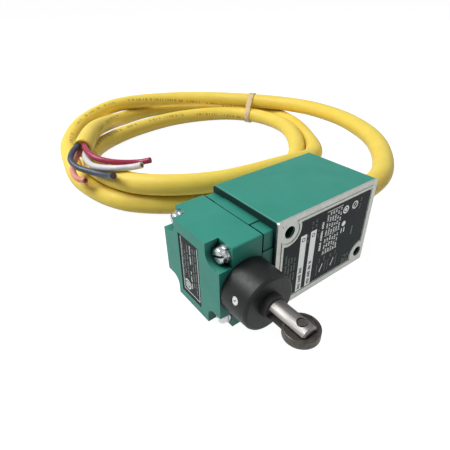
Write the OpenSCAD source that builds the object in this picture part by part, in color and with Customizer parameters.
// Compact plunger limit switch, prewired, lying on its side.
// All modules are written in the switch's own layout frame: X runs from the head joint
// towards the cable, Y from the front plate to the mounting back, Z from the resting side up.
// placed() then moves everything to the part's origin, the bottom centre of the switch's box.

/* [Body] */
// Length of the die-cast body along X
body_len = 61; // [58:1:70]
// Depth of the body with its front plate, along Y
body_depth = 41; // [40.5:0.5:44]
// Width of the body, which is its height as it lies
body_w = 44.5; // [43.5:0.5:48]
// Edge radius of the body
body_edge_r = 1; // [0.5:0.25:2]
// Thickness of the front plate
plate_t = 1.2; // [1:0.1:1.6]

/* [Mounting holes] */
// Radius of each mounting hole, a clearance hole for a 5 mm screw
mount_r = 2.7; // [2.4:0.1:2.9]
// Distance between the mounting holes along X
mount_dx = 50; // [49:0.5:50]
// Distance between the mounting holes along Z
mount_dz = 32; // [31:0.5:32]
// Distance from the head joint to the first mounting hole
mount_x = 6.5; // [6.5:0.5:7]

/* [Head] */
// Side of the square head
head_w = 39; // [38:0.5:40]
// Length of the head along X, up to the neck
head_len = 19.8; // [19.8:0.2:22]
// Length of the neck plate between the head and the body
neck_len = 6.2; // [6:0.2:8]
// Side of the square notch at each screw corner
notch_w = 8.4; // [8:0.2:9]
// Depth of each screw notch along X
notch_len = 6; // [5:0.5:7]

/* [Plunger] */
// Radius of the black plunger housing
housing_r = 12; // [11.5:0.25:13]
// How far the plunger housing stands out of the head
housing_len = 13.5; // [12:0.5:15]
// Radius of the plunger shaft
plunger_r = 4; // [3.5:0.25:4.25]
// How far the plunger stands out of the head
plunger_out = 32.4; // [31:0.2:34]
// Radius of the roller
roller_r = 6.5; // [6:0.25:7]
// Thickness of the roller
roller_t = 3.5; // [3:0.25:3.6]
// Full travel of the plunger
travel = 5; // [3:0.5:5]

/* [Cable] */
// Diameter of the cable
cable_d = 12.7; // [11:0.1:13]
// Diameter of each insulated conductor
wire_d = 3.8; // [3:0.1:3.9]

/* [Hidden] */

fine = 64;
// Half widths and centre heights
mid_z = body_w / 2;
head_y0 = 1.8;
head_y1 = head_y0 + head_w;
head_mid_y = (head_y0 + head_y1) / 2;
head_x0 = -(head_len + neck_len);
gasket_t = 0.4;
seal_in = 1.3;
corner_step = 0.4;
corner_slot = 1;
mount_z = mid_z + mount_dz / 2;
mount_pos = [[mount_x, mount_z], [mount_x + mount_dx, mount_z - mount_dz]];

// Front plate: the inset and width of its raised bead, and the label's inset
bead_t = 0.25;
bead_in = 2.5;
bead_w = 0.8;
label_t = 0.2;
label_in = 4.1;

// Body cavity
wall = 4;
cavity_x1 = 54;
cavity_y1 = 36;
cavity_z0 = 5;
boss_r = 5.5;

// Head screws
screw_in = 4.4;
screw_r = 2;
screw_play = 0.05;
screw_head_r = 3.2;
screw_head_t = 2.5;
screw_tip_x = 3;
washer_t = 1.2;
washer_r = 3.6;
screw_seat_x = head_x0 + notch_len;

// Head cavity
head_wall = 4.5;
head_back = 2.8;
head_cavity_y0 = 9;
head_cavity_w = 18;
name_y = 14.5;
name_z = 30;
name_depth = 0.8;
name_mid_y = 22.25;

// Plunger and its housing
axis_x = head_x0 + 12.3;
housing_y0 = head_y0 - housing_len;
spigot_r = 6.8;
spigot_y1 = 8;
bushing_r = 5.4;
lip_r = 5;
lip_t = 1;
running_fit = 0.05;
ring_r = 0.4;
ring_y = 5;
collar_r = 4.95;
collar_len = 2.8;
plunger_y0 = head_y0 - plunger_out;
roller_y = plunger_y0 + 3.95;
fork_slot = 4;
fork_y1 = plunger_y0 + 16.8;
pin_r = 1.6;
pin_half = 3.75;
pin_sink_r = 2;
pin_sink_z = 3.4;
set_screw_y = -5.5;
set_screw_r = 1.6;
set_screw_angle = 162.5;

// Ramp that turns the plunger's travel into the push rod's travel
ramp_slope = 0.6;
ramp_y0 = 15;
ramp_y1 = 24;
ramp_x0 = axis_x + plunger_r;
foot_y0 = 25;
plunger_y1 = 26;
spring_wire_r = 0.45;

// Push rod
rod_y = 22;
nose_r = 2.5;
nose_gap = 0.2;
nose_reach = (nose_r + nose_gap) * sqrt(1 + ramp_slope * ramp_slope);
nose_x = ramp_x0 - ramp_slope * (rod_y - ramp_y0) + nose_reach;
rod_travel = travel * ramp_slope;
guide_r = 5;
guide_x0 = -5.5;
guide_x1 = 6;
rod_seal_r = 4.4;

// Contact block
block_x0 = 12;
block_x1 = 40;
block_y0 = 8;
block_y1 = 34;
block_z0 = 8;
block_z1 = 36.5;
block_wall = 1.5;
carrier_x0 = 16.5;
carrier_len = 10;
carrier_y = [17, 27];
carrier_z = [15, 29.5];
bridge_t = 0.8;
bridge_x = [18, 24];
bridge_z = [10.6, 33.9];
button_r = 1.5;
button_t = 0.6;
contact_z = [12.4, 32.1];
contact_gap = 0.3;
strip_t = 0.8;
strip_y = 4;
lead_r = 1.3;

// Cable exit
exit_y = 20.5;
cable_r = cable_d / 2;
exit_bore_r = 8.2;
relief_len = 22;
relief_r0 = 9;
relief_r1 = 7.2;
relief_flange = 3;

// Route of the cable, from inside the strain relief to the bared end
cable_route = [
    [61, 20.5, 22.25], [84, 20.8, 22.25], [108, 25.5, 22.5], [132, 39.5, 22.5], [155, 61, 23],
    [173, 88, 22.5], [185, 120, 22], [188, 160, 21], [174, 203, 20], [141, 246, 20],
    [99, 277, 20], [54, 286, 19.8], [16, 271.5, 15], [-9, 240, 9.5], [-20, 201, 7],
    [-24, 159.2, 6.4], [-10, 116, 6.4], [32, 86, 6.4], [80, 83.4, 6.6], [114, 98, 9],
    [140, 124, 11], [162, 161, 9], [164, 201, 7.8], [144, 232, 7], [102.5, 249, 6.5],
    [57.5, 245, 6.5], [19, 228, 7], [-7, 194, 11.4], [-16, 150, 17.2], [-5, 111, 19.3],
    [30.5, 85, 19.6], [80, 77, 19.4], [120, 87, 13], [155, 122, 7], [179, 168, 7],
    [180, 213.5, 7.5], [147, 268.5, 7], [98, 291, 6.6], [52, 274, 9.5], [9, 221, 21.9],
    [-18.5, 169.5, 27]
];
red_route = [[-16.6, 169, 29], [-18.7, 160.5, 29.6], [-19.3, 152, 29.2], [-17, 143.6, 27.8],
    [-10.9, 136.9, 26.2], [-3.3, 132.8, 25], [4.2, 128.6, 24.8], [9, 123.2, 26.6]];
white_route = [[-16.6, 169, 25], [-20.3, 159.3, 25.5], [-22, 150, 25.3], [-21.7, 140.5, 25.3],
    [-18.2, 131, 26.3], [-12.8, 123, 27.3], [-6.4, 117.7, 28], [-2.2, 111.2, 30.4]];
black_route = [[-20, 171, 29], [-26, 164, 28.6], [-30.5, 156, 26.5], [-29.7, 147, 24.4],
    [-25.2, 138.5, 23.3], [-21, 129.5, 23.1], [-18.2, 121, 24.4], [-19.2, 114, 27.6]];
orange_route = [[-20, 171, 25], [-26.3, 163.5, 22.5], [-31, 155, 19.5], [-31.6, 146.2, 17.6],
    [-29, 138, 18.4]];
cable_sides = 12;
cable_steps = 2;
wire_sides = 8;

// Cable tie round three strands: its place, and each strand's centre in the tie's plane
tie_at = [161, 208, 0];
tie_angle = 28;
tie_strands = [[8.3, 19.95], [0.3, 7.6], [19.8, 7.5]];
tie_gap = 0.3;
tie_t = 0.8;
tie_width = 5;

// Moves the layout frame to the bottom centre of the box of the switch without its cable
origin_x = (head_x0 + body_len + relief_len) / 2;
origin_y = (body_depth + roller_y - roller_r) / 2;
module placed() {
    translate([-origin_x, -origin_y, 0]) children();
}

// Extrudes an XZ outline from y0 to y1
module xz_slab(y0, y1) {
    translate([0, y1, 0]) rotate([90, 0, 0]) linear_extrude(height = y1 - y0) children();
}
// Extrudes a YZ outline from x0 to x1
module yz_slab(x0, x1) {
    translate([x0, 0, 0]) rotate([90, 0, 90]) linear_extrude(height = x1 - x0) children();
}
// Round bars along each axis
module bar_x(x0, x1, r, y, z) {
    translate([x0, y, z]) rotate([0, 90, 0]) cylinder(h = x1 - x0, r = r, $fn = fine);
}
module bar_y(y0, y1, r, x, z) {
    translate([x, y0, z]) rotate([-90, 0, 0]) cylinder(h = y1 - y0, r = r, $fn = fine);
}
module bar_z(z0, z1, r, x, y) {
    translate([x, y, z0]) cylinder(h = z1 - z0, r = r, $fn = fine);
}
// Solid of revolution about the Y axis at (x, z); the profile's y is the position along Y
module turned_y(x, z) {
    translate([x, 0, z]) rotate([-90, 0, 0]) rotate_extrude($fn = fine) children();
}
// Rectangle from a to b with round corners
module round_rect(a, b, r) {
    translate([a[0] + r, a[1]]) square([b[0] - a[0] - 2 * r, b[1] - a[1]]);
    translate([a[0], a[1] + r]) square([b[0] - a[0], b[1] - a[1] - 2 * r]);
    for (x = [a[0] + r, b[0] - r], y = [a[1] + r, b[1] - r])
        translate([x, y]) circle(r = r, $fn = fine);
}
// Box from one corner to the other
module block(a, b) {
    translate(a) cube(b - a);
}
// The four head screw places, as [y, z]
function screw_places() = [
    for (y = [head_y0 + screw_in, head_y1 - screw_in])
        for (z = [mid_z - head_w / 2 + screw_in, mid_z + head_w / 2 - screw_in]) [y, z]
];
// Front plate outline drawn in by d, which also steps round both mounting holes
module lobed(d) {
    difference() {
        round_rect([d, d], [body_len - d, body_w - d], max(body_edge_r - d, 0.6));
        for (p = mount_pos) translate(p) circle(r = mount_r + d, $fn = fine);
    }
}
// Uniform Catmull-Rom curve through the points p, with n steps a span
function spline_point(a, b, c, d, t) =
    0.5 * (2 * b + (c - a) * t + (2 * a - 5 * b + 4 * c - d) * t * t
        + (3 * b - a - 3 * c + d) * t * t * t);
function ahead(p, i) = i < 0 ? 2 * p[0] - p[1]
    : i >= len(p) ? 2 * p[len(p) - 1] - p[len(p) - 2] : p[i];
function on_spline(p, s) =
    let (i = min(floor(s), len(p) - 2), t = s - i)
    spline_point(ahead(p, i - 1), p[i], p[i + 1], ahead(p, i + 2), t);
function spline(p, n) = let (last = round((len(p) - 1) * n))
    [for (k = [0 : last]) on_spline(p, (len(p) - 1) * k / last)];
function unit(v) = v / norm(v);
function ring(c, t, r, m) =
    let (side = unit(cross(t, [0, 0, 1])), up = cross(side, t))
    [for (j = [0 : m - 1]) c + r * (cos(360 * j / m) * side + sin(360 * j / m) * up)];
function direction(q, k) = unit(q[min(k + 1, len(q) - 1)] - q[max(k - 1, 0)]);
// Round tube of radius r with m sides along the points q
module tube(q, r, m) {
    n = len(q);
    skin = [for (k = [0 : n - 1]) each ring(q[k], direction(q, k), r, m)];
    sides = [for (k = [0 : n - 2]) for (j = [0 : m - 1])
        [k * m + j, k * m + (j + 1) % m, (k + 1) * m + (j + 1) % m, (k + 1) * m + j]];
    first = [for (j = [m - 1 : -1 : 0]) j];
    last = [for (j = [0 : m - 1]) (n - 1) * m + j];
    polyhedron(points = skin, faces = concat(sides, [first], [last]));
}
// Points of a coil spring along its axis, closed by small end angles
function coil(r, len, turns, per_turn) = [
    for (k = [0 : turns * per_turn])
        [r * cos(360 * k / per_turn), r * sin(360 * k / per_turn), len * k / (turns * per_turn)]
];

// Die-cast body, open at the front under its plate
module body_housing() {
    color("#418f84") placed() difference() {
        intersection() {
            xz_slab(plate_t, body_depth)
                round_rect([0, 0], [body_len, body_w], body_edge_r);
            yz_slab(0, body_len)
                round_rect([plate_t - 2, 0], [body_depth, body_w], body_edge_r);
        }
        xz_slab(plate_t - 1, cavity_y1) difference() {
            round_rect([wall, cavity_z0], [cavity_x1, body_w - cavity_z0], 2);
            for (p = mount_pos) translate(p) circle(r = boss_r, $fn = fine);
        }
        for (p = mount_pos) bar_y(0, body_depth + 1, mount_r, p[0], p[1]);
        bar_x(cavity_x1 - 1, body_len + 1, exit_bore_r, exit_y, mid_z);
        bar_x(-1, wall + 1, guide_r, rod_y, mid_z);
        for (s = screw_places()) bar_x(-1, screw_tip_x + 0.3, screw_r + screw_play, s[0], s[1]);
    }
}
// Pressed metal front plate with a raised bead that steps round both holes
module front_plate() {
    color("#b2b6b0") placed() difference() {
        union() {
            xz_slab(bead_t, plate_t) round_rect([0, 0], [body_len, body_w], body_edge_r);
            xz_slab(0, plate_t) difference() {
                lobed(bead_in);
                lobed(bead_in + bead_w);
            }
        }
        for (p = mount_pos) bar_y(-1, plate_t + 1, mount_r, p[0], p[1]);
    }
}
// Thin printed label inside the bead
module data_label() {
    color("#3c4646") placed()
        xz_slab(bead_t - label_t, bead_t) lobed(label_in);
}
// Square outline of the head
module head_outline() {
    round_rect([head_y0, mid_z - head_w / 2], [head_y1, mid_z + head_w / 2], 0.8);
}
// Outline of the neck: the head's, with its four corners set back by d
module neck_outline(d) {
    a = [head_y0, mid_z - head_w / 2];
    round_rect(a + [d, d], a + [head_w - d, head_w - d], 0.8);
    translate(a + [notch_w, 0]) square([head_w - 2 * notch_w, head_w]);
    translate(a + [0, notch_w]) square([head_w, head_w - 2 * notch_w]);
}
module screw_holes(x0, x1) {
    for (s = screw_places()) bar_x(x0, x1, screw_r + 0.2, s[0], s[1]);
}
// Holes in a seal or plate for the screws and the push rod's guide
module joint_holes(x0, x1) {
    screw_holes(x0, x1);
    bar_x(x0, x1, guide_r, rod_y, mid_z);
}
// Dark sheet seal over the whole end of the body
module neck_gasket() {
    color("#1c3432") placed() difference() {
        yz_slab(-gasket_t, 0)
            round_rect([plate_t, 0.2], [body_depth - 0.2, body_w - 0.2], body_edge_r);
        joint_holes(-1, 1);
    }
}
// Neck plate that joins the head to the body, with a slot in each corner beside the head
module head_neck() {
    color("#3f8a7f") placed() difference() {
        union() {
            yz_slab(gasket_t - neck_len, corner_slot - neck_len) neck_outline(seal_in);
            yz_slab(corner_slot - neck_len, -gasket_t) neck_outline(corner_step);
        }
        joint_holes(-neck_len - 1, 1);
    }
}
// Thin seal between the head and the neck
module head_gasket() {
    color("#20262a") placed() difference() {
        yz_slab(-neck_len, gasket_t - neck_len)
            round_rect([head_y0 + seal_in, mid_z - head_w / 2 + seal_in],
                [head_y1 - seal_in, mid_z + head_w / 2 - seal_in], 0.8);
        joint_holes(-neck_len - 1, 1);
    }
}
// Quarter of a notch's outline: a square with one round inner corner
module notch(a, sy, sz) {
    r = 4.4;
    translate(a) mirror([sy < 0 ? 1 : 0, 0]) mirror([0, sz < 0 ? 1 : 0]) union() {
        translate([-1, -1]) square([notch_w + 1, notch_w + 1 - r]);
        translate([-1, -1]) square([notch_w + 1 - r, notch_w + 1]);
        translate([notch_w - r, notch_w - r]) circle(r = r, $fn = fine);
    }
}
// Head casting: four notches, a spring and ramp chamber, and the housing's bore
module operating_head() {
    z0 = mid_z - head_w / 2;
    z1 = mid_z + head_w / 2;
    c0 = mid_z - head_cavity_w / 2;
    c1 = mid_z + head_cavity_w / 2;
    color("#418f84") placed() difference() {
        yz_slab(head_x0, -neck_len) head_outline();
        yz_slab(head_x0 - 1, screw_seat_x) union() {
            notch([head_y0, z0], 1, 1);
            notch([head_y1, z0], -1, 1);
            notch([head_y0, z1], 1, -1);
            notch([head_y1, z1], -1, -1);
        }
        screw_holes(head_x0, 0);
        block([head_x0 + head_wall, head_cavity_y0, c0], [-neck_len + 1, head_y1 - head_back, c1]);
        bar_y(head_y0 - 1, spigot_y1, spigot_r + running_fit, axis_x, mid_z);
        bar_y(spigot_y1 - 1, head_cavity_y0 + 1, plunger_r + 0.3, axis_x, mid_z);
        yz_slab(head_x0 - 1, head_x0 + name_depth)
            round_rect([name_mid_y - name_y / 2, mid_z - name_z / 2 - 0.65],
                [name_mid_y + name_y / 2, mid_z + name_z / 2 - 0.65], 0.6);
    }
}
// Plate in the recess at the end of the head
module head_nameplate() {
    e = 0.1;
    color("#30383a") placed() difference() {
        yz_slab(head_x0 + 0.2, head_x0 + name_depth)
            round_rect([name_mid_y - name_y / 2 + e, mid_z - name_z / 2 - 0.65 + e],
                [name_mid_y + name_y / 2 - e, mid_z + name_z / 2 - 0.65 - e], 0.5);
        yz_slab(head_x0, head_x0 + 0.35)
            round_rect([name_mid_y - name_y / 2 + 1, mid_z - name_z / 2 + 0.35],
                [name_mid_y + name_y / 2 - 1, mid_z + name_z / 2 - 1.65], 0.4);
    }
}
// Split spring washer
module head_lock_washers() {
    color("#c4c8cc") placed() for (s = screw_places()) difference() {
        bar_x(screw_seat_x - washer_t, screw_seat_x, washer_r, s[0], s[1]);
        bar_x(screw_seat_x - 2 * washer_t, screw_seat_x + 1, screw_r + 0.1, s[0], s[1]);
        translate([screw_seat_x, s[0], s[1]]) rotate([35, 0, 0])
            block([-2 * washer_t, -0.25, 1], [1, 0.25, washer_r + 1]);
    }
}
// Slotted pan-head screw along X; threads are plain cylinders
module pan_screw(x0, x1, y, z, turn) {
    edge = 0.9;
    difference() {
        union() {
            translate([x0, y, z]) rotate([0, 90, 0]) rotate_extrude($fn = fine) union() {
                translate([0, edge]) square([screw_head_r, screw_head_t - edge]);
                square([screw_head_r - edge, screw_head_t]);
                translate([screw_head_r - edge, edge]) circle(r = edge, $fn = fine);
            }
            bar_x(x0 + screw_head_t - 0.1, x1, screw_r, y, z);
        }
        translate([x0, y, z]) rotate([turn, 0, 0])
            block([-1, -0.45, -screw_head_r - 1], [1.1, 0.45, screw_head_r + 1]);
    }
}
module head_screws() {
    x0 = screw_seat_x - washer_t - screw_head_t;
    color("#d0d4d8") placed() for (i = [0 : 3]) {
        s = screw_places()[i];
        pan_screw(x0, screw_tip_x, s[0], s[1], 25 + 40 * i);
    }
}
// Black turret that carries the plunger
module plunger_housing() {
    taper = 0.4;
    edge = 1.1;
    color("#282a2a") placed() difference() {
        turned_y(axis_x, mid_z)
            polygon([[0, spigot_y1], [spigot_r, spigot_y1], [spigot_r, head_y0],
                [housing_r, head_y0], [housing_r - taper, housing_y0 + edge],
                [housing_r - taper - 0.32 * edge, housing_y0 + 0.32 * edge],
                [housing_r - taper - edge, housing_y0], [0, housing_y0]]);
        bar_y(housing_y0 - 1, housing_y0 + 2, lip_r, axis_x, mid_z);
        bar_y(housing_y0 + lip_t, spigot_y1 + 1, bushing_r, axis_x, mid_z);
        turned_y(axis_x, mid_z) translate([spigot_r - 2 * ring_r, ring_y - ring_r - 0.1])
            square([3, 2 * ring_r + 0.2]);
        translate([axis_x, set_screw_y, mid_z]) rotate([0, -set_screw_angle, 0])
            rotate([0, 90, 0]) cylinder(h = housing_r + 1, r = set_screw_r + running_fit, $fn = fine);
    }
}
// Sealing ring in the groove of the turret's spigot
module housing_o_ring() {
    color("#1c1e1e") placed() turned_y(axis_x, mid_z)
        translate([spigot_r - ring_r + 0.02, ring_y]) circle(r = ring_r, $fn = 32);
}
// Bearing sleeve of the plunger
module plunger_bushing() {
    color("#a8823c") placed() difference() {
        bar_y(housing_y0 + 2 * lip_t, spigot_y1, bushing_r, axis_x, mid_z);
        bar_y(housing_y0, spigot_y1 + 1, plunger_r + running_fit, axis_x, mid_z);
        translate([axis_x, set_screw_y, mid_z]) rotate([0, -set_screw_angle, 0])
            translate([bushing_r - 0.6, 0, 0]) rotate([0, 90, 0])
                cylinder(h = 2, r = set_screw_r + 0.1, $fn = fine);
    }
}
module housing_set_screw() {
    tip = bushing_r - 0.5;
    color("#d0d4d8") placed() translate([axis_x, set_screw_y, mid_z])
        rotate([0, -set_screw_angle, 0]) rotate([0, 90, 0]) difference() {
            translate([0, 0, tip]) cylinder(h = housing_r - 0.45 - tip, r = set_screw_r, $fn = fine);
            translate([0, 0, housing_r - 1.1]) cylinder(h = 2, r = 0.75, $fn = 6);
        }
}
// Wiper that seals the plunger: its collar stands out of the turret, its foot is behind the lip
module wiper_seal() {
    edge = 0.6;
    y0 = housing_y0 - collar_len;
    color("#232525") placed() turned_y(axis_x, mid_z) difference() {
        union() {
            translate([0, y0 + edge]) square([collar_r, collar_len + lip_t - edge]);
            translate([0, y0]) square([collar_r - edge, 1]);
            translate([collar_r - edge, y0 + edge]) circle(r = edge, $fn = 32);
            translate([0, housing_y0 + lip_t]) square([bushing_r - 0.05, lip_t]);
        }
        translate([0, y0 - 1]) square([plunger_r + 0.06, collar_len + 4]);
    }
}
// Plunger: fork at the outer end, ramp and spring foot at the inner end
module plunger() {
    chamfer = 0.6;
    ramp_x1 = ramp_x0 - ramp_slope * (ramp_y1 - ramp_y0);
    color("#c6c8cc") placed() difference() {
        turned_y(axis_x, mid_z) polygon([[0, plunger_y0], [plunger_r - chamfer, plunger_y0],
            [plunger_r, plunger_y0 + chamfer], [plunger_r, plunger_y1], [0, plunger_y1]]);
        block([axis_x - plunger_r - 1, plunger_y0 - 1, mid_z - fork_slot / 2],
            [axis_x + plunger_r + 1, fork_y1, mid_z + fork_slot / 2]);
        bar_z(mid_z - plunger_r - 1, mid_z + plunger_r + 1, pin_r, axis_x, roller_y);
        for (s = [-1, 1]) translate([axis_x, roller_y, mid_z + s * (pin_sink_z + 1)])
            cylinder(h = 2, r = pin_sink_r, center = true, $fn = fine);
        translate([0, 0, mid_z - plunger_r - 1]) linear_extrude(height = 2 * plunger_r + 2)
            polygon([[ramp_x0, ramp_y0], [ramp_x0 + 2, ramp_y0], [ramp_x0 + 2, foot_y0],
                [ramp_x1, foot_y0], [ramp_x1, ramp_y1]]);
    }
}
module roller_pin() {
    color("#8a8c90") placed()
        bar_z(mid_z - pin_half, mid_z + pin_half, pin_r, axis_x, roller_y);
}
// Roller with a raised rim on both faces
module roller() {
    dish = 0.25;
    rim = 1.1;
    color("#5a5550") placed() translate([axis_x, roller_y, mid_z]) rotate_extrude($fn = fine)
        difference() {
            union() {
                translate([pin_r + running_fit, -roller_t / 2])
                    square([roller_r - 0.4 - pin_r - running_fit, roller_t]);
                translate([pin_r + running_fit, 0.4 - roller_t / 2])
                    square([roller_r - pin_r - running_fit, roller_t - 0.8]);
                for (z = [-1, 1]) translate([roller_r - 0.4, z * (roller_t / 2 - 0.4)])
                    circle(r = 0.4, $fn = 32);
            }
            for (z = [-1, 1]) translate([pin_r + 1, z * roller_t / 2 - dish])
                square([roller_r - rim - pin_r - 1, 2 * dish]);
        }
}
module plunger_return_spring() {
    gap = 0.05;
    y1 = head_y1 - head_back;
    color("#b8bcc0") placed() translate([axis_x, plunger_y1 + gap + spring_wire_r, mid_z])
        rotate([-90, 0, 0])
            tube(coil(3.2, y1 - plunger_y1 - 2 * (gap + spring_wire_r), 5, 16), spring_wire_r, 6);
}
// Guide bush of the push rod, with a pocket for its seal
module push_rod_guide() {
    color("#a8823c") placed() difference() {
        bar_x(guide_x0, guide_x1, guide_r, rod_y, mid_z);
        bar_x(guide_x0 - 1, guide_x1 + 1, nose_r + running_fit, rod_y, mid_z);
        bar_x(guide_x0 - 1, guide_x0 + 2, rod_seal_r, rod_y, mid_z);
    }
}
module push_rod_seal() {
    color("#232525") placed() difference() {
        bar_x(guide_x0, guide_x0 + 2, rod_seal_r, rod_y, mid_z);
        bar_x(guide_x0 - 1, guide_x0 + 3, nose_r + 0.06, rod_y, mid_z);
    }
}
// Push rod with a round nose on the ramp
module push_rod() {
    color("#c6c8cc") placed() union() {
        translate([nose_x, rod_y, mid_z]) sphere(r = nose_r, $fn = fine);
        bar_x(nose_x, carrier_x0 + 1, nose_r, rod_y, mid_z);
    }
}
// Moulded carrier that holds both contact bridges
module contact_carrier() {
    color("#e8e4d8") placed() difference() {
        block([carrier_x0, carrier_y[0], carrier_z[0]],
            [carrier_x0 + carrier_len, carrier_y[1], carrier_z[1]]);
        bar_x(carrier_x0 - 1, carrier_x0 + 1, nose_r, rod_y, mid_z);
        for (x = bridge_x) block([x, rod_y - 3, carrier_z[0] - 1],
            [x + bridge_t, rod_y + 3, carrier_z[1] + 1]);
    }
}
// Two bridges with a button at each end
module moving_contacts() {
    color("#c89c50") placed() for (i = [0, 1]) {
        x = bridge_x[i];
        block([x, rod_y - 3, bridge_z[0]], [x + bridge_t, rod_y + 3, bridge_z[1]]);
        for (z = contact_z)
            if (i == 0) bar_x(x - button_t, x, button_r, rod_y, z);
            else bar_x(x + bridge_t, x + bridge_t + button_t, button_r, rod_y, z);
    }
}
module carrier_spring() {
    x0 = carrier_x0 + carrier_len + 0.5;
    color("#b8bcc0") placed() translate([x0, rod_y, mid_z]) rotate([0, 90, 0])
        tube(coil(3, block_x1 - block_wall - x0 - 0.5, 5, 16), 0.4, 6);
}
// Tray of the contact block, open to the front
module contact_block_base() {
    color("#30302c") placed() difference() {
        block([block_x0, block_y0, block_z0], [block_x1, block_y1, block_z1]);
        block([block_x0 + block_wall, block_y0 - 1, block_z0 + block_wall],
            [block_x1 - block_wall, block_y1 - block_wall, block_z1 - block_wall]);
        bar_x(block_x0 - 1, block_x0 + block_wall + 1, nose_r + 0.3, rod_y, mid_z);
        for (z = contact_z, y = [rod_y - 7.5, rod_y + 3.5])
            block([block_x1 - block_wall - 1, y, z - strip_t / 2 - 0.1],
                [block_x1 + 1, y + strip_y, z + strip_t / 2 + 0.1]);
    }
}
module contact_block_cover() {
    color("#3a3a36") placed() difference() {
        block([block_x0, block_y0 - 1.5, block_z0], [block_x1, block_y0, block_z1]);
        for (x = [block_x0 + 4, block_x1 - 4]) bar_y(block_y0 - 3, block_y0 + 1, 1.1, x, mid_z);
    }
}
module contact_block_screws() {
    color("#c4c8cc") placed() for (x = [block_x0 + 4, block_x1 - 4]) {
        bar_y(block_y0 - 1.5, block_y0 + 6, 1, x, mid_z);
        bar_y(block_y0 - 2.7, block_y0 - 1.5, 1.9, x, mid_z);
    }
}
// Contact strip that starts behind a button and runs out of the block at the side y
module contact_strip(face_x, towards, z, y) {
    back = face_x + towards * button_t;
    lo = min(back, back + towards * strip_t);
    bar_x(min(face_x, back), max(face_x, back), button_r, rod_y, z);
    block([lo, min(rod_y - 2, y), z - 2], [lo + strip_t, max(rod_y + 2, y + strip_y), z + 2]);
    block([lo, y, z - strip_t / 2], [block_x1 + 2, y + strip_y, z + strip_t / 2]);
}
// Pair that is closed at rest, on the head side of its bridge
module fixed_contacts_closed() {
    color("#c08c48") placed() for (z = contact_z)
        contact_strip(bridge_x[0] - button_t - contact_gap, -1, z, rod_y - 7.5);
}
// Pair that closes at full travel, on the cable side of its bridge
module fixed_contacts_open() {
    face = bridge_x[1] + bridge_t + button_t + rod_travel + contact_gap;
    color("#c08c48") placed() for (z = contact_z)
        contact_strip(face, 1, z, rod_y + 3.5);
}
// Crimped sleeves on the ends of the four strips
module terminal_lugs() {
    color("#c4c8cc") placed() for (z = contact_z, y = [rod_y - 7.5, rod_y + 3.5]) difference() {
        bar_x(block_x1 + 2, block_x1 + 4, lead_r + 0.55, y + strip_y / 2, z);
        bar_x(block_x1 + 2.5, block_x1 + 5, lead_r + 0.1, y + strip_y / 2, z);
    }
}
// Four leads that run from the sleeves, through the sealing compound, to the cable
module internal_wires() {
    color("#7a3038") placed() for (z = contact_z, y = [rod_y - 7.5, rod_y + 3.5]) {
        from = [block_x1 + 2.6, y + strip_y / 2, z];
        to = [body_len - 0.3, exit_y + (y < rod_y ? -2.1 : 2.1), mid_z + (z < mid_z ? -2.1 : 2.1)];
        entry = [cavity_x1 - 2, to[1], to[2]];
        tube(spline([from, from + [1.6, 0, 0], from + [3, 0, 0], (from + entry) / 2 + [1.5, 0, 0],
            entry, (entry + to) / 2, to], 2), lead_r, wire_sides);
    }
}
// Sealing compound inside the cable entry
module potting_block() {
    color("#4a4640") placed() difference() {
        block([cavity_x1 - 1.5, 8, cavity_z0 + 4], [cavity_x1, 34, body_w - cavity_z0 - 4]);
        bar_x(cavity_x1 - 3, cavity_x1 + 1, 7.5, exit_y, mid_z);
        for (p = mount_pos) bar_y(0, body_depth, boss_r + 0.1, p[0], p[1]);
    }
}
// Rubber bushing that holds the cable in the body wall
module cable_bushing() {
    color("#1f2121") placed() difference() {
        bar_x(cavity_x1, body_len, exit_bore_r, exit_y, mid_z);
        bar_x(cavity_x1 - 1, body_len + 1, cable_r, exit_y, mid_z);
    }
}
// Tapered strain relief with ribs, round the start of the cable
module strain_relief() {
    ribs = 4;
    color("#232525") placed() translate([body_len, exit_y, mid_z]) rotate([0, 90, 0])
        rotate_extrude($fn = fine) difference() {
            union() {
                square([relief_r0, relief_flange]);
                polygon([[0, 0], [relief_r0 - 0.4, 0], [relief_r1, relief_len], [0, relief_len]]);
            }
            translate([-1, -1]) square([cable_r + 1.35, relief_len + 2]);
            for (i = [1 : ribs]) translate([cable_r + 0.9, 3 + i * 3.8]) square([4, 1.4]);
        }
}
module cable_jacket() {
    color("#efd65a") placed() tube(spline(cable_route, cable_steps), cable_r, cable_sides);
}
// Outline round the tied strands, standing r off their centres
module tie_outline(r) {
    hull() for (p = tie_strands) translate(p) circle(r = r, $fn = 32);
}
// Band round the strands that lie together at the back
module cable_tie() {
    inner = cable_r + tie_gap;
    color("#d8d4c8") placed() translate(tie_at) rotate([0, 0, tie_angle]) rotate([90, 0, 0]) {
        linear_extrude(height = tie_width, center = true) difference() {
            tie_outline(inner + tie_t);
            tie_outline(inner);
        }
    }
}
module conductor(route) {
    tube(spline(route, 3), wire_d / 2, wire_sides);
}
module conductor_red() {
    color("#a52d4b") placed() conductor(red_route);
}
module conductor_white() {
    color("#dcdcdc") placed() conductor(white_route);
}
module conductor_black() {
    color("#2c343c") placed() conductor(black_route);
}
module conductor_orange() {
    color("#b85030") placed() conductor(orange_route);
}

body_housing();
front_plate();
data_label();
neck_gasket();
head_neck();
head_gasket();
operating_head();
head_nameplate();
head_lock_washers();
head_screws();
plunger_housing();
housing_o_ring();
plunger_bushing();
housing_set_screw();
wiper_seal();
plunger();
roller_pin();
roller();
plunger_return_spring();
push_rod_guide();
push_rod_seal();
push_rod();
contact_carrier();
moving_contacts();
carrier_spring();
contact_block_base();
contact_block_cover();
contact_block_screws();
fixed_contacts_closed();
fixed_contacts_open();
terminal_lugs();
internal_wires();
potting_block();
cable_bushing();
strain_relief();
cable_jacket();
cable_tie();
conductor_red();
conductor_white();
conductor_black();
conductor_orange();
